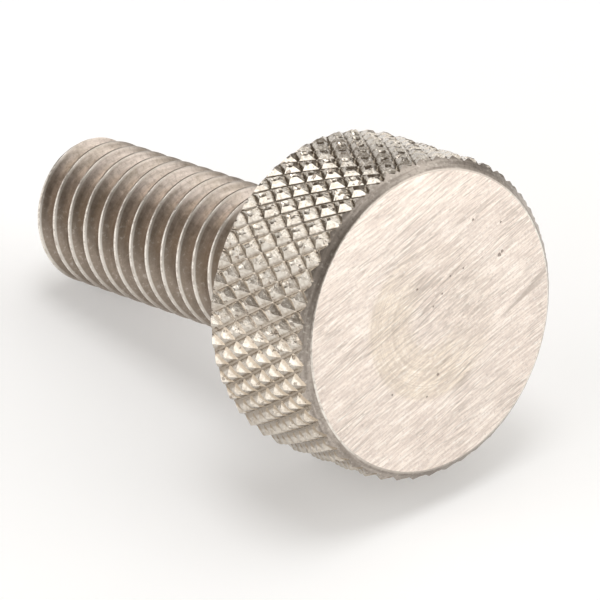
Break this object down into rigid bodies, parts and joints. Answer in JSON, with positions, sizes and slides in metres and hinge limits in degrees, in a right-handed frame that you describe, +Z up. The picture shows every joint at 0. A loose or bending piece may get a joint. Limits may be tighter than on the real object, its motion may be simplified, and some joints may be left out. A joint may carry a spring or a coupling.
{
  "type": "thumb screw",
  "caption": "Thumb screw turned in one piece: a round head with a diamond knurl and a flat brushed face on a metric threaded shank, lying on its side.",
  "frame": {"origin": "on the ground under the middle of the screw's length, as it lies on its side", "axes": "+X along the ground from the tip to the head, with the screw's axis in the XZ plane and its tip leaning down; +Z up"},
  "size_m": [0.0232, 0.013, 0.0137],
  "materials": {
    "steel": "turned and lightly brushed"
  },
  "bodies": {
    "root": {"thumb_screw": "steel"}
  },
  "joints": []
}
